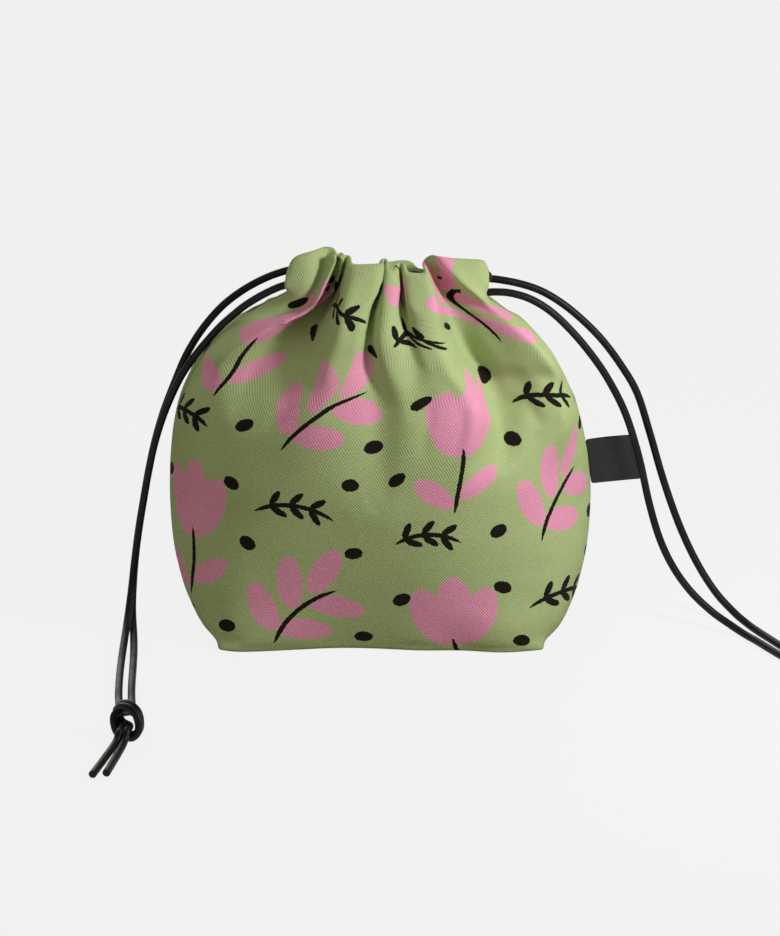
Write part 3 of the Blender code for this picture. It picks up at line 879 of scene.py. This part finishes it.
@dataclass
class Gather:
    """How one panel is bunched: where its folds' crests and hollows lie, level by level, in millimetres.

    Every level lists the same folds in order from the left seam to the right one.
    """

    side: Side
    levels: tuple
    # How far up the flat cloth each level is.
    HEIGHTS = (126.6, 135.6, 145.2, 160.1, 176.0, 187.5, 198.5)

    def curve(self, height: float) -> np.ndarray:
        """Return the folded line at a height on the flat cloth."""
        places = np.asarray(self.HEIGHTS) / 1000
        folds = through(places, np.asarray(self.levels, float) / 1000, height)
        return smooth_line(tuple(map(tuple, folds)), 8)

    def line(self, height: float, length: float, shares: np.ndarray) -> np.ndarray:
        """Return the folded line with folds just deep enough to take up the cloth's length.

        Args:
            height: How far up the flat cloth.
            length: How long the cloth is there.
            shares: The places that are wanted, as shares of the line.

        Returns:
            The places in space.
        """
        drawn = spread(self.curve(height), np.linspace(0.0, 1.0, 400))
        level = drawn.copy()
        for _ in range(900):
            level[1:-1] = (level[:-2] + 2 * level[1:-1] + level[2:]) / 4
        low, high = 0.5, 1.8
        for _ in range(24):
            depth = 0.5 * (low + high)
            if line_length(level + (drawn - level) * depth) > length:
                high = depth
            else:
                low = depth
        log.debug("%s at %.0f mm: %.0f mm drawn, folds x %.2f", self.side.name, height * 1000,
                  line_length(drawn) * 1000, depth)
        return spread(level + (drawn - level) * depth, shares)


FRONT_LEVELS = (
    ((-89.5, 0, 122), (-90.2, -5, 122), (-91, -10, 122), (-91.4, -14.5, 122), (-91, -18.5, 122),
     (-89.5, -22.5, 122), (-86, -27, 122), (-77, -30, 122), (-64, -34, 122), (-48, -42, 122),
     (-33.5, -52, 122), (-22, -53.5, 122), (-10, -52, 122), (2.5, -47.5, 122), (11, -54, 122),
     (16.5, -54.8, 122), (23, -54.5, 122), (29, -54.5, 122), (38, -54, 122), (47, -53, 122), (52, -28, 122),
     (68, -30, 122), (85, -38, 122), (87.5, -28, 122), (87, -16, 122), (85.8, -8, 122), (83.5, 0, 122)),
    ((-83.5, 0, 130), (-84.8, -5, 130), (-86, -10, 130), (-86.6, -15, 130), (-86, -19.5, 130), (-84, -24, 130),
     (-80, -28, 130), (-71, -27, 130), (-58, -27.5, 130), (-42, -35, 130), (-30.5, -50, 130),
     (-21, -51.5, 130), (-12, -50, 130), (-1.5, -43.5, 130), (7, -52, 130), (13.5, -52, 130),
     (19.5, -50.5, 130), (26, -52, 130), (33, -52, 130), (42, -51, 130), (45, -19, 130), (63, -27.5, 130),
     (83.5, -37.5, 130), (85.3, -28, 130), (84, -18, 130), (81.5, -9, 130), (78, 0, 130)),
    ((-77.5, 0, 138.5), (-79, -5, 138.5), (-80, -10, 138.5), (-80.3, -15, 138.5), (-79.5, -20, 138.5),
     (-77, -25, 138.5), (-71.5, -30.5, 138.5), (-63, -26, 138.5), (-51, -22.5, 138.5), (-36, -25.5, 138.5),
     (-27.5, -48.5, 138.5), (-18.5, -50, 138.5), (-11.5, -46.5, 138.5), (-4.5, -38.5, 138.5),
     (2, -49.5, 138.5), (10.5, -49, 138.5), (17, -45.5, 138.5), (22, -48.5, 138.5), (26, -49.5, 138.5),
     (34.5, -48, 138.5), (37.2, -16, 138.5), (57, -26, 138.5), (79, -38.5, 138.5), (80.5, -29.5, 138.5),
     (79.5, -19, 138.5), (76.5, -9, 138.5), (71.8, 0, 138.5)),
    ((-65.5, 0, 150), (-67.5, -4, 150), (-68.2, -9, 150), (-67.5, -14, 150), (-64.5, -18.5, 150),
     (-59.5, -22, 150), (-52.5, -31, 150), (-47.5, -22, 150), (-39.5, -12, 150), (-28.5, -7, 150),
     (-23.5, -43, 150), (-14.5, -46, 150), (-9, -43.5, 150), (-5.5, -30, 150), (-2, -45.5, 150), (7, -45, 150),
     (12.5, -36.5, 150), (17, -44.5, 150), (23, -45, 150), (29.5, -43, 150), (31.8, -12, 150),
     (46, -19.5, 150), (67, -33, 150), (69.5, -26, 150), (69, -17, 150), (66.2, -8, 150), (62.2, 0, 150)),
    ((-45, -10, 163), (-45.2, -11.5, 161), (-44, -13, 159), (-41, -13.5, 157.5), (-38.5, -13, 157),
     (-36, -12.5, 157.5), (-32, -25, 160), (-28, -4, 161), (-24, -9, 161), (-21.5, 1, 161),
     (-19.5, -34.5, 162.5), (-11.5, -36.5, 162.5), (-4.9, -33, 162.5), (-2.6, -15, 162.5), (-0.3, -35, 162.5),
     (7, -34, 162), (10.2, -15, 162), (13, -34, 162), (20, -36, 162), (27, -34, 162), (29, -8, 161),
     (39, -11, 161), (50.5, -20.5, 160.5), (52.4, -16.5, 160.5), (52.3, -13.5, 160.5), (51.4, -11, 160.5),
     (50, -9, 161)),
    ((-45, -14, 168.5), (-43.5, -14.3, 168.5), (-41, -14.8, 169), (-35, -15.5, 169.5), (-31, -13, 170),
     (-29, -10, 170), (-26, -18.5, 170.5), (-22.5, -4, 170), (-20, -10.5, 170), (-18.6, -2.5, 170),
     (-16, -23.5, 170.5), (-8, -26, 170.5), (-0.8, -23.5, 170.5), (0.5, -9, 169.5), (1.5, -23.5, 169.5),
     (8, -22.5, 169), (9.8, -9, 169), (12, -22.5, 168.5), (18, -25, 168.5), (24, -23.5, 169), (25.6, -6, 169),
     (31.5, -7, 169.5), (38, -18, 170.5), (42, -16, 170), (46.5, -14.8, 169.5), (49, -14, 169),
     (50.5, -13.5, 168.5)),
    ((-43.5, -8.5, 176.5), (-43, -8.8, 178.5), (-38.5, -9.3, 182), (-31.5, -8, 183.8), (-25.5, -2.5, 184.2),
     (-23, -3.5, 183.5), (-20.8, -12.5, 182), (-18.9, -2, 181.5), (-17.4, -9, 181), (-15.6, -2, 180),
     (-13.2, -14.5, 180), (-6, -17, 180.3), (0.5, -14.5, 180), (1.7, -3, 178.5), (3, -14.5, 178),
     (7, -13, 176.8), (9, -2, 176.3), (11.2, -13.5, 176), (15.5, -16, 175.8), (20.3, -15, 176.2),
     (21.3, -4, 177.8), (23, -4.5, 180), (25.5, -8, 181), (33, -8.5, 180.7), (42, -8.5, 179.9),
     (48.5, -8, 179), (50.5, -8, 176.5)),
)


def back_levels() -> tuple:
    """Work out the back panel's folds, which the photograph doesn't show: even ones, a little irregular."""
    rows = ((122.0, 86.5, -3.0, 50.0, 0.8), (130.0, 80.75, -2.75, 46.0, 2.0), (138.5, 74.25, -2.45, 41.0, 3.6),
            (149.0, 63.85, -1.65, 30.5, 6.5), (154.5, 44.5, 2.5, 21.0, 12.0), (164.5, 44.7, 2.7, 17.5, 11.5),
            (173.0, 44.0, 3.5, 14.0, 11.0))
    spans = 18
    levels = []
    for level, (z, width, middle, depth, fold) in enumerate(rows):
        folds = []
        for number in range(spans + 1):
            stray = 0.22 * math.sin(2.3 * number + 0.5)
            share = (number + (stray if 0 < number < spans else 0.0)) / spans
            angle = math.pi * share
            power = 2.2 if level < 4 else 4.0
            x = middle - width * math.copysign(abs(math.cos(angle)) ** (2 / power), math.cos(angle))
            y = depth * math.sin(angle) ** (2 / power)
            if number % 2 == 0 and 0 < number < spans:
                y -= fold * (1.0 + 0.12 * math.sin(1.7 * number))
            folds.append((x, max(y, 0.0), z + 0.8 * math.sin(1.1 * number + level)))
        levels.append(folds)
    ends = ((0.0, 0.0, 122.0), (0.0, 0.0, 130.0), (0.0, 0.0, 138.5), (0.0, 0.0, 150.0), (3.0, 9.0, 160.0),
            (4.0, 13.0, 166.0), (4.5, 9.0, 172.5))
    for folds, (inset, y, z), front in zip(levels, ends, FRONT_LEVELS):
        folds[0] = (front[0][0] + inset, y, z)
        folds[-1] = (front[-1][0] - inset, y, z)
    return tuple(map(tuple, levels))


@dataclass
class PouchCloth:
    """Both panels as one cloth: cut flat, gathered, filled, then parted into its two pieces."""

    finish: bpy.types.Material
    cut: ClothCut
    loft: Loft
    thickness: float = 0.0009
    layer_gap: float = 0.0024
    print_offset: tuple[float, float] = (0.071, 0.043)

    slack: float = 0.985

    # The relaxation: how hard the filling presses, and how far a point may move.
    pressure: float = 14.0
    frames: int = 6
    farthest: float = 0.0035

    def gathered_rows(self, gather: Gather) -> np.ndarray:
        """Place one panel's wall and casing in space, row by row.

        Args:
            gather: The panel's folds.

        Returns:
            Points by row and column, from the base's edge to the casing's top.
        """
        cut, loft, side = self.cut, self.loft, gather.side
        shares = cut.across() / cut.width
        length = cut.width * self.slack
        tucks = cut.width * 0.10
        first = gather.HEIGHTS[0] / 1000
        flat = cut.up()[cut.corner_columns:cut.corner_columns + cut.wall_rows + cut.casing_rows + 1]
        lowest = gather.line(first, length, shares)
        shift = lowest[:, :2] - loft.half_ring(float(lowest[0, 2]), side, shares)
        rows = []
        for v in flat:
            if v > first:
                rise = float(ease(v, first, 0.150) * (1.0 - ease(v, 0.166, 0.184)))
                rows.append(gather.line(float(v), length + tucks * rise, shares))
                continue
            z = float(loft.height_of(np.array(v)))
            ring = loft.half_ring(z, side, shares) + shift * float(ease(np.array(v), 0.080, first))
            share = float(ease(np.array(z), 0.0, 0.006))
            ring = cut.base_edge(side) * (1.0 - share) + ring * share
            ring[:, 1] *= 1.0 + loft.foot(ring[:, 0], side) * (1.0 - float(ease(np.array(z), 0.0, 0.030)))
            rows.append(np.column_stack([ring, np.full(len(shares), z)]))
        return np.array(rows)

    def shapes(self) -> dict:
        """Place both panels, with one and the same line for their side seams."""
        made = {gather.side: self.gathered_rows(gather)
                for gather in (Gather(Side.FRONT, FRONT_LEVELS), Gather(Side.BACK, back_levels()))}
        last = self.cut.slit_row - self.cut.corner_columns + 1
        for end in (0, -1):
            seam = 0.5 * (made[Side.FRONT][:last, end] + made[Side.BACK][:last, end])
            seam[:, 1] = 0.0
            for rows in made.values():
                rows[:last, end] = seam
        return made

    def panel(self, side: Side, rows: np.ndarray) -> bpy.types.Object:
        """Cut one panel flat from a grid, and place it gathered.

        Args:
            side: Which panel.
            rows: Where its wall and casing lie.

        Returns:
            The panel, with its flat measure as a UV map and its sewn-up flat form as an attribute.
        """
        cut = self.cut
        clear_selection()
        bpy.ops.mesh.primitive_grid_add(x_subdivisions=cut.columns, y_subdivisions=cut.rows, size=1.0,
                                        calc_uvs=True, location=(0.0, 0.0, 0.0))
        thing = bpy.context.object
        mesh = thing.data
        start = np.empty(len(mesh.vertices) * 3)
        mesh.vertices.foreach_get("co", start)
        start = start.reshape(-1, 3)
        column = np.rint((start[:, 0] + 0.5) * cut.columns).astype(int)
        row = np.rint((start[:, 1] + 0.5) * cut.rows).astype(int)
        u, v = cut.across()[column], cut.up()[row]

        corners = np.empty(len(mesh.loops), dtype=np.int32)
        mesh.loops.foreach_get("vertex_index", corners)
        offset = self.print_offset if side is Side.BACK else (0.0, 0.0)
        layer = mesh.uv_layers.active
        layer.name = "cloth"
        layer.data.foreach_set("uv", np.column_stack([u[corners] + offset[0], v[corners] + offset[1]]).ravel())

        place = np.zeros((len(u), 3))
        under = row < cut.corner_columns
        place[under, 0] = u[under] - 0.5 * cut.width
        place[under, 1] = side.value * (0.5 * cut.base_depth + v[under])
        place[under, 1] *= 1.0 + self.loft.foot(place[under, 0], side)
        wall_row = row - cut.corner_columns
        last = rows.shape[0] - 1
        mirrored = np.where(wall_row > last, 2 * last - wall_row, wall_row)
        place[~under] = rows[mirrored[~under], column[~under]]
        rest = place.copy()
        edge = cut.base_edge(side)
        rest[~under, :2] = edge[column[~under]]
        rest[~under, 2] = v[~under]
        mesh.vertices.foreach_set("co", place.ravel())

        for name, kind, values in (("flat_form", "FLOAT_VECTOR", rest), ("grid_row", "INT", row),
                                   ("grid_column", "INT", column)):
            data = mesh.attributes.new(name, kind, "POINT").data
            data.foreach_set("vector" if kind == "FLOAT_VECTOR" else "value", values.ravel())
        outside = under & ((column < cut.corner_columns) | (column > cut.columns - cut.corner_columns))
        edit_points(thing, outside)
        bpy.ops.mesh.delete(type="VERT")
        if side is Side.BACK:
            bpy.ops.mesh.select_all(action="SELECT")
            bpy.ops.mesh.flip_normals()
        bpy.ops.object.mode_set(mode="OBJECT")
        mesh.materials.append(bpy.data.materials.new(f"{side.name.lower()} mark"))
        thing.name = side.name.lower()
        return thing

    def sew(self) -> bpy.types.Object:
        """Sew both panels into one cloth: the sides up to the slits, the base, and its boxed corners."""
        front, back = (self.panel(side, rows) for side, rows in self.shapes().items())
        pick(front, back)
        bpy.ops.object.join()
        cut = self.cut
        row, column = self.attribute(front.data, "grid_row"), self.attribute(front.data, "grid_column")
        from_end = np.minimum(column, cut.columns - column)
        side_seam = (from_end == 0) & (row <= cut.slit_row)
        corner_seam = (row <= cut.corner_columns) & (from_end <= cut.corner_columns)
        edit_points(front, side_seam | corner_seam | (row == 0))
        bpy.ops.mesh.remove_doubles(threshold=0.00001)
        bpy.ops.object.mode_set(mode="OBJECT")
        front.name = "pouch_cloth"
        return front

    @staticmethod
    def attribute(mesh: bpy.types.Mesh, name: str) -> np.ndarray:
        """Read one of the cloth's own attributes."""
        layer = mesh.attributes[name]
        if layer.data_type == "FLOAT_VECTOR":
            values = np.empty(len(mesh.vertices) * 3)
            layer.data.foreach_get("vector", values)
            return values.reshape(-1, 3)
        values = np.empty(len(mesh.vertices), dtype=np.int32)
        layer.data.foreach_get("value", values)
        return values

    @staticmethod
    def points(mesh: bpy.types.Mesh) -> np.ndarray:
        """Read a mesh's points."""
        values = np.empty(len(mesh.vertices) * 3)
        mesh.vertices.foreach_get("co", values)
        return values.reshape(-1, 3)

    def relax(self, thing: bpy.types.Object) -> None:
        """Let the filling press the cloth out while its threads keep their flat lengths.

        Args:
            thing: The sewn cloth. Its casing and its base are held.
        """
        mesh = thing.data
        start = self.points(mesh)
        row = self.attribute(mesh, "grid_row")
        held = (row >= self.cut.corner_columns + self.cut.wall_rows) | (row <= self.cut.corner_columns)
        thing.shape_key_add(name="Basis")
        flat = thing.shape_key_add(name="flat form")
        flat.data.foreach_set("co", self.attribute(mesh, "flat_form").ravel())
        flat.value = 0.0
        group = thing.vertex_groups.new(name="held")
        group.add(np.flatnonzero(held).tolist(), 1.0, "REPLACE")
        cloth = thing.modifiers.new("cloth", "CLOTH")
        settings = cloth.settings
        settings.quality = 6
        settings.mass = 0.01
        settings.air_damping = 1.0
        settings.tension_stiffness = 20.0
        settings.compression_stiffness = 10.0
        settings.shear_stiffness = 5.0
        settings.bending_stiffness = 0.2
        settings.use_pressure = True
        settings.uniform_pressure_force = self.pressure
        settings.vertex_group_mass = "held"
        settings.effector_weights.gravity = 0.0
        settings.rest_shape_key = flat
        cloth.point_cache.frame_start = 1
        cloth.point_cache.frame_end = self.frames
        scene = bpy.context.scene
        for number in range(1, self.frames + 1):
            scene.frame_set(number)
        depsgraph = bpy.context.evaluated_depsgraph_get()
        moved = self.points(thing.evaluated_get(depsgraph).data) - start
        size = np.linalg.norm(moved, axis=1)
        moved *= np.minimum(1.0, self.farthest / np.maximum(size, 1e-9))[:, None]
        thing.modifiers.remove(cloth)
        thing.shape_key_clear()
        thing.vertex_groups.clear()
        mesh.vertices.foreach_set("co", (start + moved).ravel())
        mesh.update()
        scene.frame_set(1)
        log.info("cloth relaxed: moved %.1f mm on average, %.1f mm at most", size.mean() * 1000, size.max() * 1000)

    def line_casing(self, thing: bpy.types.Object) -> None:
        """Fold the casing's inner layer down behind the outer one, wider apart at its open ends."""
        mesh, cut = thing.data, self.cut
        place = self.points(mesh)
        row = self.attribute(mesh, "grid_row")
        column = self.attribute(mesh, "grid_column")
        normals = np.empty(len(place) * 3)
        mesh.vertex_normals.foreach_get("vector", normals)
        normals = normals.reshape(-1, 3)
        side = np.zeros(len(place), dtype=np.int32)
        corners = np.empty(len(mesh.loops), dtype=np.int32)
        mesh.loops.foreach_get("vertex_index", corners)
        marks = np.empty(len(mesh.polygons), dtype=np.int32)
        mesh.polygons.foreach_get("material_index", marks)
        counts = np.empty(len(mesh.polygons), dtype=np.int32)
        mesh.polygons.foreach_get("loop_total", counts)
        side[corners] = np.repeat(marks, counts)
        top = cut.corner_columns + cut.wall_rows + cut.casing_rows
        inward = -normals * (1.0, 1.0, 0.2)
        inward /= np.linalg.norm(inward, axis=1)[:, None]
        outer = {(s, r, c): i for i, (s, r, c) in enumerate(zip(side, row, column)) if r <= top}
        for index in np.flatnonzero(row > top):
            steps = int(row[index]) - top
            source = outer[side[index], top - steps, column[index]]
            share = steps / cut.casing_rows
            nested = place[source] + inward[source] * self.layer_gap
            sign = math.copysign(1.0, place[source][1])
            from_end = min(nested[0] + 0.045, 0.0505 - nested[0]) / 0.022
            behind = sign * (0.0008 + 0.0074 * (1.0 - min(max(from_end, 0.0), 1.0)))
            flat = math.sin(math.pi * min(share, 1.0)) ** 0.6 * 0.9
            nested[1] += flat * (behind - nested[1])
            place[index] = nested
        fold = row == top
        below = np.array([outer[side[i], top - 1, column[i]] for i in np.flatnonzero(fold)])
        place[fold] += inward[below] * 0.5 * self.layer_gap
        mesh.vertices.foreach_set("co", place.ravel())
        mesh.update()

    def part_panels(self, thing: bpy.types.Object) -> list:
        """Part the cloth into the real two panels and finish each as a sheet."""
        pick(thing)
        bpy.ops.object.mode_set(mode="EDIT")
        bpy.ops.mesh.select_all(action="SELECT")
        bpy.ops.mesh.separate(type="MATERIAL")
        bpy.ops.object.mode_set(mode="OBJECT")
        pieces = list(bpy.context.selected_objects)
        made = []
        for piece in pieces:
            marks = {m.name for m in piece.data.materials if m}
            indices = {p.material_index for p in piece.data.polygons}
            mark = piece.data.materials[indices.pop()].name
            side = Side.FRONT if mark.startswith("front") else Side.BACK
            piece.name = f"{side.name.lower()}_cloth"
            piece.data.materials.clear()
            piece.data.materials.append(self.finish)
            pick(piece)
            bpy.ops.object.shade_smooth()
            finer = piece.modifiers.new("finer", "SUBSURF")
            finer.levels = finer.render_levels = 1
            wall = piece.modifiers.new("canvas thickness", "SOLIDIFY")
            wall.thickness = self.thickness
            wall.offset = -1.0
            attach(piece, "root")
            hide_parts(f"{side.name.lower()}_panel")
            log.info("%s: %d faces, marks %s", piece.name, len(piece.data.polygons), sorted(marks))
            made.append(piece)
        return made

    def build(self) -> list:
        """Make the pouch's two panels."""
        thing = self.sew()
        self.relax(thing)
        self.line_casing(thing)
        return self.part_panels(thing)


@dataclass
class SideLabel:
    """The folded ribbon in the right side seam, left plain."""

    finish: bpy.types.Material
    root: tuple[float, float, float] = (0.0985, -0.0010, 0.0765)
    length: float = 0.0236
    height: float = 0.0225
    tilt: float = math.radians(8.0)
    gap: float = 0.0009
    thickness: float = 0.00035

    def build(self) -> bpy.types.Object:
        """Fold the ribbon: out along its front, round the fold and back to the seam."""
        profile = [(0.0, -0.5 * self.gap)]
        for share in np.linspace(0.1, 0.86, 6):
            profile.append((share * self.length, -0.5 * self.gap - 0.0005 * math.sin(math.pi * share)))
        for degrees in range(-60, 61, 30):
            angle = math.radians(degrees)
            profile.append((self.length - 0.0012 + 0.0012 * math.cos(angle), 0.0009 * math.sin(angle)))
        profile += [(x, -y) for x, y in reversed(profile[:7])]
        line = np.asarray(profile)
        clear_selection()
        bpy.ops.mesh.primitive_grid_add(x_subdivisions=len(line) - 1, y_subdivisions=10, size=1.0, calc_uvs=True)
        thing = bpy.context.object
        mesh = thing.data
        start = PouchCloth.points(mesh)
        column = np.rint((start[:, 0] + 0.5) * (len(line) - 1)).astype(int)
        share = start[:, 1] + 0.5
        along = np.concatenate([[0.0], np.cumsum(np.linalg.norm(np.diff(line, axis=0), axis=1))])
        corners = np.empty(len(mesh.loops), dtype=np.int32)
        mesh.loops.foreach_get("vertex_index", corners)
        layer = mesh.uv_layers.active
        layer.name = "cloth"
        layer.data.foreach_set("uv", np.column_stack([along[column][corners],
                                                      share[corners] * self.height]).ravel())
        x, y = line[column, 0], line[column, 1]
        z = (share - 0.5) * self.height
        # The ribbon curls forward a little at its loose end.
        y = y - 0.0022 * (x / self.length) ** 2
        c, s = math.cos(self.tilt), math.sin(self.tilt)
        placed = np.column_stack([c * x - s * z, y, s * x + c * z]) + np.asarray(self.root)
        mesh.vertices.foreach_set("co", placed.ravel())
        thing.name = "folded_label"
        mesh.materials.append(self.finish)
        pick(thing)
        bpy.ops.object.shade_smooth()
        wall = thing.modifiers.new("ribbon thickness", "SOLIDIFY")
        wall.thickness = self.thickness
        finer = thing.modifiers.new("finer", "SUBSURF")
        finer.levels = finer.render_levels = 1
        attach(thing, "root")
        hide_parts("side_label")
        log.info("folded_label: %.1f mm long", self.length * 1000)
        return thing


def main() -> None:
    """Build the studio, then the cords, the cloth and the label."""
    logging.basicConfig(level=logging.INFO, format="%(name)s: %(message)s")
    log.setLevel(logging.DEBUG)
    Studio().build()
    waxed = WaxedCord().material()
    Drawstring("left", LEFT_RUN_Z, -0.0388, 0.0465, LEFT_FRONT_ROUTE, LEFT_BACK_ROUTE, LEFT_KNOT,
               math.radians(-7.0), LEFT_TAILS, waxed).build()
    Drawstring("right", RIGHT_RUN_Z, 0.0468, -0.0385, RIGHT_FRONT_ROUTE, RIGHT_BACK_ROUTE, RIGHT_KNOT,
               math.radians(30.0), RIGHT_TAILS, waxed).build()
    PouchCloth(PrintedCanvas().material(), ClothCut(), Loft()).build()
    SideLabel(WovenLabel().material()).build()


if __name__ == "__main__":
    main()
